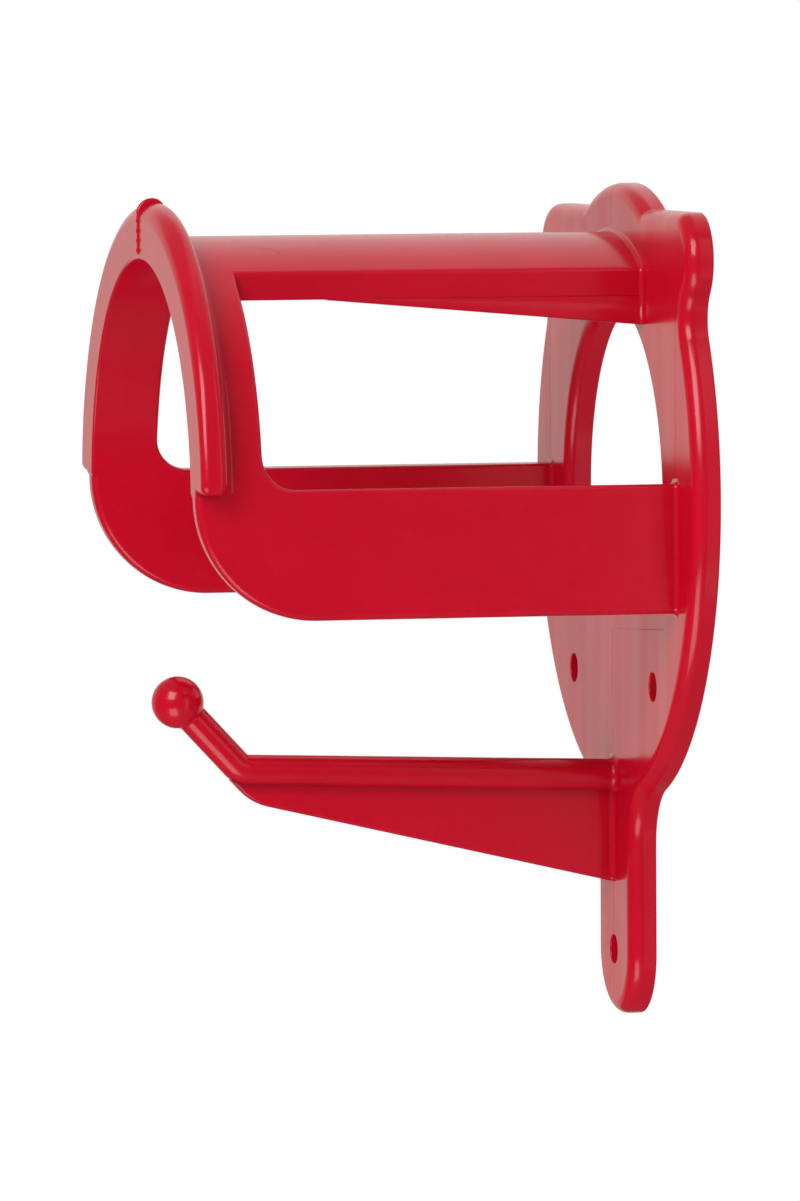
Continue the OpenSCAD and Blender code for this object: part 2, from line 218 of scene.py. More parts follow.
# Sheet between two faces, bounded by loops of (points, normals, front radius, rear radius).
# Round each loop the edge is a quarter circle, a wall and a quarter circle; place sets it into space.
def sheet(loops, thick, place, grid=None, gridMargin=0.5):
    shell = Shell()
    turn = np.radians(np.linspace(0, 90, edgeRows))
    ends = {1: ([], []), -1: ([], [])}  # rows round the front and rear faces, and the same drawn flat
    for points, normals, frontR, rearR in loops:
        rows = []
        for radius, angles, sign in ((rearR, turn[::-1], -1), (frontR, turn, 1)):
            radius = np.broadcast_to(radius, len(points))
            for a in angles:
                flat = points - normals * (radius * (1 - math.cos(a)))[:, None]
                deep = radius * (1 - math.sin(a))
                depth = thick - deep if sign > 0 else deep
                across = np.full(len(points), sign * math.sin(a))
                rows.append(shell.add(*place(flat, depth, normals * math.cos(a), across)))
                if a == turn[-1]:
                    ends[sign][0].append(rows[-1])
                    ends[sign][1].append(flat)
        shell.strip(rows)
    points, normals, radius = loops[0][:3]
    inner = points - normals * (np.broadcast_to(radius, len(points)) + gridMargin)[:, None]
    for sign, depth in ((1, thick), (-1, 0.0)):
        spots, spotsFlat = None, None
        if grid is not None:
            spotsFlat = grid[within(grid, [inner])]
            n = len(spotsFlat)
            tilt, across = np.zeros((n, 2)), np.full(n, float(sign))
            spots = shell.add(*place(spotsFlat, np.full(n, depth), tilt, across))
        shell.fill(*ends[sign], spots, spotsFlat)
    return shell


# Drawing on the wall set into space: its two values are x and z, and depth is the reach
def onPlate(flat, depth, tilt, across):
    return (np.stack([flat[:, 0], -depth, flat[:, 1]], -1),
            np.stack([tilt[:, 0], -across, tilt[:, 1]], -1))


# Drawing in reach and height above z, set upright on the middle plane; depth runs along x, half each side
def upright(wide, z=0.0):
    def place(flat, depth, tilt, across):
        return (np.stack([depth - wide / 2, -flat[:, 0], flat[:, 1] + z], -1),
                np.stack([across, -tilt[:, 0], tilt[:, 1]], -1))
    return place


# Gives a function that adds a node with its settings, links or fills its inputs, and returns its outputs
def nodeMaker(tree):
    def made(kind, inputs, **settings):
        node = tree.nodes.new(kind)
        for key, value in settings.items():
            setattr(node, key, value)
        for key, value in inputs.items():
            if isinstance(value, bpy.types.NodeSocket):
                tree.links.new(value, node.inputs[key])
            else:
                node.inputs[key].default_value = value
        return node.outputs
    return made


# Glossy moulded plastic: colour and gloss drift slowly, the face is a little wavy and finely grained.
# Lines of the mould are fine dark grooves: (axis, place, other axis, from, to, climb along the other).
# A ring is such a groove at a distance from a centre, and fades out; crease paints shade into the colour,
# darker towards a plane.
def makeRed(name, look, lines=(), ring=None, crease=None):
    material = bpy.data.materials.new(name)
    material.use_nodes = True
    tree = material.node_tree
    made = nodeMaker(tree)
    where = made("ShaderNodeTexCoord", {})["Object"]

    # One step of arithmetic
    def calc(operation, a, b=0.0, c=0.0):
        return made("ShaderNodeMath", {0: a, 1: b, 2: c}, operation=operation)[0]

    # Noise between 0 and 1, at a scale per metre
    def noise(scale, detail, at=where):
        return made("ShaderNodeTexNoise", {"Vector": at, "Scale": scale, "Detail": detail})["Fac"]

    # Runs evenly from low to high while the value runs from start to end, most of a noise's range
    def spread(value, low, high, start=0.3, end=0.7):
        return made("ShaderNodeMapRange", {"Value": value, "From Min": start, "From Max": end,
                                           "To Min": low, "To Max": high})["Result"]

    # Colour a with a share of b
    def tinted(share, a, b):
        return made("ShaderNodeMix", {"Factor": share, "A": a, "B": b}, data_type="RGBA")["Result"]

    # Normal tilted by the slope of a height times a distance
    def bump(height, distance, before=None):
        inputs = {"Strength": 1.0, "Distance": distance, "Height": height}
        if before is not None:
            inputs["Normal"] = before
        return made("ShaderNodeBump", inputs)["Normal"]

    # 1 where two values are equal, down to 0 where they are a mark's width apart
    def meeting(a, b):
        return spread(calc("ABSOLUTE", calc("SUBTRACT", a, b)), 1, 0, 0.0, look["markWide"])

    drift, grain = noise(look["driftScale"], 2.0), noise(look["grainScale"], 2.0)
    colour = tinted(spread(drift, 0, 1), (*look["deep"], 1), (*look["pale"], 1))
    drawn = made("ShaderNodeVectorMath", {0: where, 1: look["stretch"]}, operation="MULTIPLY")["Vector"]
    face = bump(noise(look["waveScale"], 1.0, drawn), look["wave"])
    face = bump(grain, look["grain"], face)
    axes = made("ShaderNodeSeparateXYZ", {"Vector": where})
    grooves = []
    for axis, place, other, start, end, climb in lines:
        along = axes[other]
        near = meeting(axes[axis], calc("MULTIPLY_ADD", along, climb, place))
        between = calc("MULTIPLY", calc("GREATER_THAN", along, start), calc("LESS_THAN", along, end))
        inFront = calc("LESS_THAN", axes["Y"], look["markFront"])
        grooves.append(calc("MULTIPLY", calc("MULTIPLY", near, between), inFront))
    if ring:
        x, y = ring["centre"][:2]
        away = made("ShaderNodeVectorMath", {0: where, 1: ring["centre"]}, operation="DISTANCE")["Value"]
        shown = calc("MULTIPLY", spread(axes["X"], 1, 0, x - ring["fadeX"], x + ring["fadeX"]),
                     spread(axes["Y"], 0, 1, y - ring["fadeY"], y))
        grooves.append(calc("MULTIPLY", meeting(away, ring["r"]), shown))
    if grooves:
        groove = grooves[0]
        for near in grooves[1:]:
            groove = calc("MAXIMUM", groove, near)
        colour = tinted(calc("MULTIPLY", groove, look["markDark"]), colour, (*look["markTone"], 1))
        face = bump(calc("SUBTRACT", 1.0, groove), look["markDeep"], face)
    # Painted shade: the colour darkens towards the plane of the crease, where the bar shades the web
    if crease:
        height = made("ShaderNodeVectorMath", {0: where, 1: crease["along"]},
                      operation="DOT_PRODUCT")["Value"]
        share = spread(height, 0, crease["dark"], crease["at"] - crease["wide"], crease["at"])
        colour = tinted(share, colour, (*crease["tone"], 1))
    shader = tree.nodes["Principled BSDF"]
    rough = spread(grain, look["rough"] - look["roughDrift"], look["rough"] + look["roughDrift"])
    tree.links.new(colour, shader.inputs["Base Color"])
    tree.links.new(rough, shader.inputs["Roughness"])
    tree.links.new(face, shader.inputs["Normal"])
    shader.inputs["IOR"].default_value = look["ior"]
    return material


# Finishes, with lengths in metres; the plate's waves are drawn out along its height
redLook = {"deep": (0.50, 0.0008, 0.0145), "pale": (0.54, 0.0018, 0.019), "driftScale": 45,
           "ior": 1.48, "rough": 0.2, "roughDrift": 0.02, "grainScale": 700, "grain": 0.000002,
           "waveScale": 55, "wave": 0.00012, "stretch": (1, 1, 1), "markWide": 0.00016,
           "markDeep": 0.00004, "markDark": 0.6, "markTone": (0.06, 0.004, 0.008), "markFront": -0.0035}
hookLook = {**redLook, "wave": 0.00004}
plateLook = {**redLook, "waveScale": 62, "wave": 0.0004, "stretch": (1, 1, 0.25)}
plateLines = [("X", 0.0, "Z", -0.08, 0.0105, 0.0), ("X", 0.0, "Z", 0.09, 0.12, 0.0),
              ("Z", 0.0105, "X", 0.0, 0.043, 0.054), ("X", -0.0532, "Z", 0.044, 0.083, 0.0),
              ("X", 0.0532, "Z", 0.044, 0.083, 0.0)]
roofRing = {"centre": (0.02016, -0.0886, 0.0925), "r": 0.0049, "fadeX": 0.001, "fadeY": 0.003}
# Painted shade in the crease under the hook's bar: the web's colour darkens towards the bar
webPaintedShade = {"along": (0, 0.0367, 1), "at": -0.0246, "wide": 0.0024, "dark": 0.45,
             "tone": (0.1, 0.0006, 0.006)}
redBody = makeRed("red_moulded", redLook)
redHook = makeRed("red_hook", hookLook)
redWebPaintedShade = makeRed("red_web_painted_shade", hookLook, crease=webPaintedShade)
redPlate = makeRed("red_plate", plateLook, plateLines)
redSpine = makeRed("red_spine", redLook, ring=roofRing)
print("stage 2: materials made")

# Wall plate: tangent arcs from the dome round to the tail, with a window and three holes
plate = {"bodyR": 67.97, "domeC": (0, 48.8), "domeR": 57.98, "notchR": 2.0, "earC": (53, 91.4),
         "earR": 10.0, "waistR": 8.0, "neckR": 13.0, "tailR": 13.97, "tailZ": -59.0,
         "frontR": 3.1, "rearR": 0.5, "windowC": (0, 39.6), "windowR": 40.5, "sillZ": 17.0, "sillR": 14.0,
         "windowFrontR": 2.3, "screwR": 3.1, "screwX": 33.5, "screwEdge": 0.35}


# Point at distance r from c and s from d, on the right of the line from c to d, by the rule of cosines
def touching(c, r, d, s):
    apart = math.dist(c, d)
    turn = math.degrees(math.acos((r * r + apart ** 2 - s * s) / (2 * r * apart)))
    return np.asarray(c) + r * ray(aim(c, d) - turn)


# Dome, notch, ear, waist, body, neck and tail: each arc's centre is set so that it touches its neighbours
def plateOutline(k):
    earTop = k["earC"][1] + k["earR"]
    dz = earTop + k["notchR"] - k["domeC"][1]
    notch = np.array([math.sqrt((k["domeR"] + k["notchR"]) ** 2 - dz ** 2), earTop + k["notchR"]])
    waist = touching(bodyC, k["bodyR"] + k["waistR"], k["earC"], k["earR"] + k["waistR"])
    across = k["tailR"] + k["neckR"]
    neck = np.array([across, bodyZ - math.sqrt((k["bodyR"] + k["neckR"]) ** 2 - across ** 2)])
    return mirrored(*joined(
        arcLine(k["domeC"], k["domeR"], 90, aim(k["domeC"], notch)),
        arcLine(notch, k["notchR"], aim(notch, k["domeC"]) + 360, 270, True),
        arcLine(k["earC"], k["earR"], 90, aim(k["earC"], waist)),
        arcLine(waist, k["waistR"], aim(waist, k["earC"]), aim(waist, bodyC) + 360, True),
        arcLine(bodyC, k["bodyR"], aim(bodyC, waist), aim(bodyC, neck)),
        arcLine(neck, k["neckR"], aim(neck, bodyC), 180, True),
        arcLine((0, k["tailZ"]), k["tailR"], 0, -90)))


# Circle cut off by a level sill, with an arc in the corner that touches both
def windowOutline(k):
    cornerZ = k["sillZ"] + k["sillR"]
    rise = cornerZ - k["windowC"][1]
    corner = np.array([math.sqrt((k["windowR"] - k["sillR"]) ** 2 - rise ** 2), cornerZ])
    turn = aim(k["windowC"], corner)
    sill = np.array([[0.0, k["sillZ"]]]), np.array([[0.0, 1.0]])
    return mirrored(*joined(arcLine(k["windowC"], k["windowR"], 90, turn, True),
                            arcLine(corner, k["sillR"], turn, -90, True), sill))


# Circle of the screw's radius about (x, z), looking inward
def hole(x, z, k):
    out = ray(np.arange(0, 360, arcStep))
    return np.array([x, z]) + k["screwR"] * out, -out, k["screwEdge"], k["screwEdge"]


plateLoops = [(*plateOutline(plate), plate["frontR"], plate["rearR"]),
              (*windowOutline(plate), plate["windowFrontR"], plate["rearR"]),
              hole(-plate["screwX"], 0, plate), hole(plate["screwX"], 0, plate),
              hole(0, plate["tailZ"], plate)]
makePiece("plate", sheet(plateLoops, plateFront, onPlate), redPlate, ["back_plate"])
print("stage 3: plate made")

# Arms: a sheet drawn unrolled in reach and run, flat below the body's centre, bent round the arch above.
# hiddenR, ledgeR and crownR round corners that other pieces cover. Edges fade to a seam under the rim,
# over the runs of ledgeFade, and from fadeRun before the spine, which the arch meets at spineRun.
arm = {"front": 110.0, "rise": 3.2, "drop": 24.2, "noseR": 26.0, "crookR": 7.0, "toe": 3.1,
       "edgeR": 1.5, "topR": 0.9, "bandR": 0.9, "rootR": 1.2, "seam": 0.01,
       "hiddenR": 0.1, "ledgeR": 0.2, "crownR": 0.02, "covered": 0.3, "flatRun": 0.5,
       "ledgeFade": (1.8, 2.4), "bandRun": 20, "spineRun": 55.0, "fadeRun": 4,
       "step": 2.5, "gridStart": 10, "gridReach": 2.2, "gridFlat": 2.0, "gridBent": 1.1}
armMid = (archR + archOut) / 2
crown = armMid * math.pi / 2


# Bends the drawing: angle is run over the arch's middle radius, radius is the arch's plus the depth,
# and below the centre, where run is negative, the sheet goes straight down
def armPlace(side):
    def place(flat, depth, tilt, across):
        reach, run = flat[:, 0], flat[:, 1]
        a = np.maximum(run, 0) / armMid
        out = np.stack([side * np.cos(a), np.zeros_like(a), np.sin(a)], -1)
        up = np.stack([-side * np.sin(a), np.zeros_like(a), np.cos(a)], -1)
        points = out * (archR + depth)[:, None]
        points[:, 1] = -reach
        points[:, 2] += bodyZ + np.minimum(run, 0)
        normals = up * tilt[:, 1:] + out * across[:, None]
        normals[:, 1] = -tilt[:, 0]
        return points, normals
    return place


# Outline from the root along the lower edge, round the nose, up the rim's ledge to the crown, and back
# down the arch's rear edge and round the crook to the root, with an edge radius for each point
def armShell(k, side):
    roots = rootReaches(k["rootR"])
    outline, normals = outlineOf(
        [(rootStart, -k["drop"], k["hiddenR"])] + [(p, -k["drop"], 0) for p in roots]
        + [(k["front"], -k["drop"], k["noseR"]), (k["front"], k["toe"], k["ledgeR"]),
           (rimRear, k["toe"], k["ledgeR"]), (rimRear, crown, k["crownR"]),
           (bandRear, crown, k["crownR"]), (bandRear, k["rise"], k["crookR"])]
        + [(p, k["rise"], 0) for p in roots[::-1]] + [(rootStart, k["rise"], k["hiddenR"])], k["step"])
    reach, run = outline.T
    toe = np.interp(run, k["ledgeFade"], [k["edgeR"], k["seam"]])
    edge = np.where(reach > rimRear + k["covered"], toe, k["seam"])
    edge = np.where(run < k["flatRun"], k["edgeR"], edge)
    behind = np.interp(run, [k["rise"], k["bandRun"], k["spineRun"] - k["fadeRun"], k["spineRun"]],
                       [k["topR"], k["bandR"], k["bandR"], k["seam"]])
    edge = np.where((run > k["rise"] - hair) & (reach < bandRear + hair), behind, edge)
    edge = np.where(reach < plateFront - k["covered"], k["seam"], edge)
    runs = np.concatenate([np.arange(-k["drop"], 0, k["gridFlat"]), np.arange(0, crown, k["gridBent"])])
    reaches = np.concatenate([roots, np.arange(k["gridStart"], k["front"], k["gridReach"])])
    return sheet([(outline, normals, edge, edge)], archOut - archR, armPlace(side), gridOf(reaches, runs))


for side, name in sides:
    makePiece(name + "_arm", armShell(arm, side), redBody, [name + "_arch_arm"], arm["rootR"], (1, 0, 1))
print("stage 4: arms made")

# Rim: a section in reach and radius, carried round the arch from a rounded toe to the crown.
# The outer front edge grows from outR to crownR, growth times as fast as the arch goes round.
# The toe starts at the height end with corner toeR and edge toeEdge, and is level again after run.
# Its end is sunk into the arm by sink, but not within lap of the arm's front; shares ease the toe's edge.
rim = {"r": 62.5, "face": 110.18, "outR": 1.85, "crownR": 3.7, "growth": 1.5, "backR": 2.0, "inR": 0.55,
       "footR": 2.6, "footDeep": 0.5, "end": 2.6, "toeR": 3.0, "toeEdge": 1.7, "run": 12.0, "sink": 0.6,
       "lap": 0.4, "footShare": 0.06, "inShare": 0.5, "leastShare": 0.15, "step": 0.7,
       "toeRows": 8, "runRows": 10, "archRows": 60}


# Each point of the section takes its share of the toe's edge; points that lie on the arm are sunk into it
def rimShell(k, side):
    shell = Shell()
    foot, bite = rimRear - k["footR"], archOut - k["footDeep"]
    section, normals = outlineOf(
        [(rimRear, archR, 0), (k["face"], archR, k["inR"]), (k["face"], k["r"], k["outR"]),
         (rimRear, k["r"], k["backR"]), (rimRear, archOut, k["footR"]), (foot, archOut, 0),
         (foot, bite, 0), (rimRear, bite, 0)], k["step"])
    reach, rho = section.T
    normals[(rho < archR + hair) & (reach < rimRear + hair)] = (0, -1)
    normals[(rho > archOut - hair) & (reach < foot + hair)] = (0, 1)
    outside = np.clip((reach - foot) / k["footR"], k["footShare"], 1)
    inside = np.clip(reach - arm["front"] + k["lap"], 0, 1)
    share = np.where(rho > archOut - hair, outside, k["inShare"] * inside)
    sunk = np.where(rho > archOut - hair, 0, 1 - inside) * k["sink"]

    # Section with a rounder outer front edge: the edge's arc grows and the flats beside it shrink
    def rounder(radius):
        low, back = archR + k["inR"], rimRear + k["backR"]
        face, top = k["face"], k["r"]
        grown = np.stack([
            np.interp(reach, [back, face - k["outR"], face], [back, face - radius, face]),
            np.interp(rho, [low, top - k["outR"], top], [low, top - radius, top])], -1)
        return np.where(((rho > low) & (reach > back))[:, None], grown, section)

    # Share of the toe's corner radius that a point lies in
    def cornered(at):
        return np.clip(at[:, 1] - (k["r"] - k["toeR"]), 0, k["toeR"]) / k["toeR"]

    # Adds a row at angle a of the arch; lean turns its normals towards the end
    def row(at, a, lean):
        over = cornered(at)
        out = np.stack([side * np.cos(a), np.zeros_like(a), np.sin(a)], -1)
        points = out * at[:, 1:] + np.stack([0 * a, -at[:, 0], 0 * a + bodyZ], -1)
        level = out * normals[:, 1:] + np.stack([0 * a, -normals[:, 0], 0 * a], -1)
        end = out * over[:, None] + np.array([0, 0, -1.0]) * np.sqrt(1 - over ** 2)[:, None]
        return shell.add(points, level * np.cos(lean)[:, None] + end * np.sin(lean)[:, None])

    beyond = np.arange(1, k["runRows"] + 1) / k["runRows"] * k["run"]
    turns = np.concatenate([np.radians(np.linspace(90, 0, k["toeRows"])), np.zeros(k["runRows"])])
    pasts = np.concatenate([np.zeros(k["toeRows"]), beyond])
    rows = []
    for turn, past in zip(turns, pasts):
        at = section - normals * (k["toeEdge"] * share * (1 - math.cos(turn)))[:, None]
        up = k["toeEdge"] * np.maximum(share, k["leastShare"]) * (1 - math.sin(turn))
        up = up + past * (1 - up / k["run"])
        lift = k["toeR"] * (1 - np.sqrt(1 - cornered(at) ** 2)) - sunk
        height = k["end"] + up + lift * (1 - up / k["run"])
        angle = np.arcsin(height / at[:, 1])
        rows.append(row(at, angle, turn * share))
    for t in np.linspace(0, 1, k["archRows"] + 1)[1:]:
        grown = rounder(k["outR"] + (k["crownR"] - k["outR"]) * min(1.0, k["growth"] * t))
        rows.append(row(grown, angle + (math.pi / 2 - angle) * t, 0 * rho))
    shell.strip(rows)
    shell.fill([rows[0]], [section - normals * (k["toeEdge"] * share)[:, None]])
    shell.fill([rows[-1]], [grown])
    return shell


for side, name in sides:
    makePiece(name + "_rim", rimShell(rim, side), redBody, [name + "_stop_rim"])

# Weld bead: a thin lumpy plate on the middle plane, standing out of the rim's front face and crown.
# A wave of lumps is (share, pitch, phase); the lumps fade out over calmRun below calmTop.
weld = {"wide": 1.15, "edgeR": 0.5, "front": 0.42, "top": 1.05, "low": 0.4, "rear": 0.1, "lowRear": 0.5,
        "slantReach": 0.8, "slantRise": 1.0, "rearDrop": 3.5, "cornerR": 0.6, "frontR": 3.4, "rearR": 2.7,
        "lump": 0.17, "waves": ((0.5, 2.9, 0.6), (0.3, 6.1, 2.0), (0.2, 11.3, 0.4)),
        "calmTop": 1.5, "calmRun": 2, "lumpRear": 0.3, "step": 0.25}


# Outline in reach and radius, moved along its normals by a sum of sines on the front face
def weldShell(k):
    low, high, front = archR + k["low"], rim["r"] + k["top"], rim["face"] + k["front"]
    rear = rimRear - k["rear"]
    outline, normals = outlineOf(
        [(rimRear + k["lowRear"], low, k["cornerR"]), (front - k["slantReach"], low, k["cornerR"]),
         (front, low + k["slantRise"], k["cornerR"]), (front, high, k["frontR"]),
         (rear, high, k["rearR"]), (rear, high - k["rearDrop"], k["cornerR"])], k["step"])
    reach, run = outline.T
    lumps = sum(share * np.sin(run * pitch + phase) for share, pitch, phase in k["waves"])
    fade = np.clip((high - k["calmTop"] - run) / k["calmRun"], 0, 1)
    fade = fade * (reach > rim["face"] - k["lumpRear"])
    outline = outline + normals * (k["lump"] * lumps * fade)[:, None]
    return sheet([(outline, normals, k["edgeR"], k["edgeR"])], k["wide"], upright(k["wide"], bodyZ))


makePiece("weld", weldShell(weld), redBody, [])
print("stage 5: rims and weld made")

# Spine: the saddle's roof with eaves and side walls, run out of the plate into the arch
spine = {"w": 27.3, "wall": 4.5, "low": 83.2, "eaveR": 1.5, "lipR": 0.35, "cornerR": 1.5, "rootR": 1.15,
         "lap": 0.1, "endInset": 0.25, "rowStart": 12, "rows": 20}


# Section of arcs about the body's centre, with eaves, lips and inner corners, repeated at each reach;
# the last row is drawn in along the normals
def spineShell(k):
    shell = Shell()
    lip, eaveX, eaveR = k["lipR"], k["w"] - k["eaveR"], archOut - k["eaveR"]
    eave = np.array([eaveX, bodyZ + math.sqrt(eaveR ** 2 - eaveX ** 2)])
    inX, inR = k["w"] - k["wall"] - k["cornerR"], archOut - k["wall"] - k["cornerR"]
    corner = np.array([inX, bodyZ + math.sqrt(inR ** 2 - inX ** 2)])
    section, normals = mirrored(*joined(
        arcLine(bodyC, archOut, 90, aim(bodyC, eave)), arcLine(eave, k["eaveR"], aim(bodyC, eave), 0),
        arcLine((k["w"] - lip, k["low"] + lip), lip, 0, -90),
        arcLine((k["w"] - k["wall"] + lip, k["low"] + lip), lip, -90, -180),
        arcLine(corner, k["cornerR"], 0, aim(bodyC, corner), True),
        arcLine(bodyC, archOut - k["wall"], aim(bodyC, corner), 90, True)))
    reaches = np.concatenate([[rootStart], rootReaches(k["rootR"]),
                              np.linspace(k["rowStart"], bandRear, k["rows"]), [bandRear + k["lap"]]])
    insets = np.zeros(len(reaches))
    insets[-1] = k["endInset"]
    n = len(section)
    rows = [shell.add(*onPlate(section - normals * inset, np.full(n, reach), normals, np.zeros(n)))
            for reach, inset in zip(reaches, insets)]
    shell.strip(rows)
    shell.fill([rows[0]], [section])
    shell.fill([rows[-1]], [section])
    return shell


makePiece("spine", spineShell(spine), redSpine, ["top_spine"], spine["rootR"], (1, 0, 1))

# Skirts: tapered walls under the spine's sides, set back a hair so that a crease shows
skirt = {"set": 0.12, "thick": 3.3, "deep": 6.2, "toeDeep": 0.15, "reach": 75.0, "lap": 0.8, "lipR": 0.3,
         "rootR": 1.05, "endR": 0.25, "endTurns": (30, 60, 90), "rowStart": 12, "rows": 20, "step": 40}


# Rectangle with rounded lower corners at each reach: its depth falls evenly from deep at the plate to
# toeDeep, and the last rows follow a quarter circle round the end
def skirtShell(k, side):
    shell = Shell()
    outX, top, flip = spine["w"] - k["set"], spine["low"] + k["lap"], np.array([side, 1])
    inX, ends = outX - k["thick"], np.radians(k["endTurns"])
    straight = np.concatenate([[rootStart], rootReaches(k["rootR"]),
                               np.linspace(k["rowStart"], k["reach"], k["rows"])])
    reaches = np.concatenate([straight, k["reach"] + k["endR"] * np.sin(ends)])
    leans = np.concatenate([np.zeros(len(straight)), ends])
    rows = []
    for reach, lean in zip(reaches, leans):
        t = np.clip((reach - plateFront) / (k["reach"] - plateFront), 0, 1)
        low = spine["low"] - k["deep"] + (k["deep"] - k["toeDeep"]) * t
        section, normals = outlineOf([(inX, low, k["lipR"]), (outX, low, k["lipR"]), (outX, top, 0),
                                      (inX, top, 0)], k["step"])
        n = len(section)
        drawn = (section - normals * k["endR"] * (1 - math.cos(lean))) * flip
        rows.append(shell.add(*onPlate(drawn, np.full(n, reach), normals * flip * math.cos(lean),
                                       np.full(n, math.sin(lean)))))
    shell.strip(rows)
    shell.fill([rows[0]], [section * flip])
    shell.fill([rows[-1]], [drawn])
    return shell


for side, name in sides:
    makePiece(name + "_skirt", skirtShell(skirt, side), redBody, [name + "_spine_skirt"], skirt["rootR"])
print("stage 6: spine and skirts made")

# Hook: a round bar with an elbow and a ball; bend is (reach, z). barRows is the first and last reach and
# the number of rows, and tipClear keeps the tip's rows off the elbow and off the ball's centre.
hook = {"rootZ": -21.3, "rootReach": 4.1, "bend": (88.5, -18.2), "rootD": 7.1, "tipD": 6.6, "elbowR": 4.2,
        "tipSlope": 47.0, "tipL": 20.2, "ballD": 11.2, "neckR": 1.0, "rootR": 1.5,
        "barRows": (12, 84, 13), "elbowRows": 13, "tipClear": (0.5, 2), "tipRows": 6,
        "neckRows": 9, "ballRows": 40, "ballEnd": 0.6}
hookRoot, hookBend = np.array([hook["rootReach"], hook["rootZ"]]), np.array(hook["bend"])
barSlope = aim(hookRoot, hookBend)
barDir, tipDir = ray(barSlope), ray(hook["tipSlope"])


# Rings about a path in the middle plane: centre plus radius times a direction square to the path's slope;
# a ring's normals lean ahead along the path
def ringShell(path, slopes, radii, leans):
    shell, rows = Shell(), []
    flat = ray(np.arange(0, 360, arcStep))
    for at, slope, radius, lean in zip(path, slopes, radii, leans):
        up, on = ray(slope + 90), ray(slope)
        out = np.stack([flat[:, 0], -flat[:, 1] * up[0], flat[:, 1] * up[1]], -1)
        ahead = np.array([0, -on[0], on[1]])
        centre = np.array([0, -at[0], at[1]])
        rows.append(shell.add(centre + radius * out, out * math.cos(lean) + ahead * math.sin(lean)))
    shell.strip(rows)
    shell.fill([rows[0]], [flat])
    shell.fill([rows[-1]], [flat])
    return shell


# Straight run, elbow arc that touches bar and tip, and tip; the radius falls evenly from root to elbow
def barShell(k):
    lead = k["elbowR"] * math.tan(math.radians((k["tipSlope"] - barSlope) / 2))
    reaches = np.concatenate([[rootStart], rootReaches(k["rootR"]), np.linspace(*k["barRows"])])
    straight = hookRoot + (reaches - hookRoot[0])[:, None] / barDir[0] * barDir
    centre = hookBend - lead * barDir + k["elbowR"] * ray(barSlope + 90)
    turns = np.linspace(barSlope, k["tipSlope"], k["elbowRows"])
    elbow = centre + k["elbowR"] * ray(turns - 90)
    after, before = k["tipClear"]
    tip = hookBend + np.linspace(lead + after, k["tipL"] - before, k["tipRows"])[:, None] * tipDir
    path = np.concatenate([straight, elbow, tip])
    slopes = np.concatenate([np.full(len(straight), barSlope), turns, np.full(len(tip), k["tipSlope"])])
    radii = np.interp(path[:, 0], [k["rootReach"], k["bend"][0] - lead], [k["rootD"] / 2, k["tipD"] / 2])
    return ringShell(path, slopes, radii, np.zeros(len(path)))


# Ball: a sphere run into the tip by a small hollow neck, an arc that touches the sphere and the tip
def ballShell(k):
    r, tipR, neck = k["ballD"] / 2, k["tipD"] / 2, k["neckR"]
    back = math.sqrt((r + neck) ** 2 - (tipR + neck) ** 2)
    meet = math.degrees(math.atan2(tipR + neck, back))
    hollow = np.array([-back, tipR + neck]) + neck * ray(np.linspace(-90, -meet, k["neckRows"]))
    neckLeans = np.radians(np.linspace(0, -(90 - meet), k["neckRows"]))
    sphere = np.radians(np.linspace(180 - meet, k["ballEnd"], k["ballRows"])[1:])
    along = np.concatenate([hollow[:, 0], r * np.cos(sphere)])
    radii = np.concatenate([hollow[:, 1], r * np.sin(sphere)])
    leans = np.concatenate([neckLeans, math.pi / 2 - sphere])
    centre = hookBend + k["tipL"] * tipDir
    return ringShell(centre + along[:, None] * tipDir, np.full(len(along), k["tipSlope"]), radii, leans)


# Web: a flat triangle under the bar. Its edge is round where it lies lower than edgeBelow under the bar's
# middle, at the root and at the bend, and a grid is from, to and step.
web = {"thick": 3.0, "rootZ": -44.3, "below": 6.7, "heelR": 12.0, "edgeR": 0.8, "seam": 0.05,
       "hiddenR": 0.1, "hiddenDrop": 0.2, "covered": 0.2, "edgeBelow": (4, 3.4), "step": 2.0,
       "gridReach": (10, 90, 3.0), "gridZ": (-44, -18, 2.0)}


# From the plate to under the elbow; the rounded heel lies where the lower edge meets the line along the
# tip's underside, and the upper corners are inside the bar
def webShell(k):
    roots = rootReaches(hook["rootR"])
    root = np.array([plateFront, k["rootZ"]])
    under = hookBend - [0, k["below"]]
    nose = hookBend + hook["tipD"] / 2 * ray(hook["tipSlope"] - 90)
    climb = (under[1] - root[1]) / (under[0] - root[0])
    t = (nose[1] - root[1] - climb * (nose[0] - root[0])) / (climb * tipDir[0] - tipDir[1])
    heel = nose + t * tipDir
    lower = [(p, root[1] + climb * (p - root[0]), 0) for p in roots]
    outline, normals = outlineOf(
        [(rootStart, lower[0][1] - k["hiddenDrop"], k["hiddenR"])] + lower
        + [(*heel, k["heelR"]), (*nose, k["hiddenR"]), (*hookBend, k["hiddenR"])]
        + [(p, hook["rootZ"], 0) for p in roots[::-1]] + [(rootStart, hook["rootZ"], k["hiddenR"])],
        k["step"])
    reach, z = outline.T
    atRoot, atBend = k["edgeBelow"]
    low = z < np.interp(reach, [root[0], hookBend[0]], [hook["rootZ"] - atRoot, hookBend[1] - atBend])
    edge = np.where(low & (reach > plateFront - k["covered"]), k["edgeR"], k["seam"])
    grid = gridOf(np.concatenate([roots, np.arange(*k["gridReach"])]), np.arange(*k["gridZ"]))
    return sheet([(outline, normals, edge, edge)], k["thick"], upright(k["thick"]), grid)


makePiece("hook_rod", barShell(hook), redHook, ["hook_bar"], hook["rootR"], (1, 0, 1))
makePiece("hook_end", ballShell(hook), redHook, ["hook_ball"])
makePiece("web", webShell(web), redWebPaintedShade, ["hook_web"], hook["rootR"])
print("stage 7: hook made")

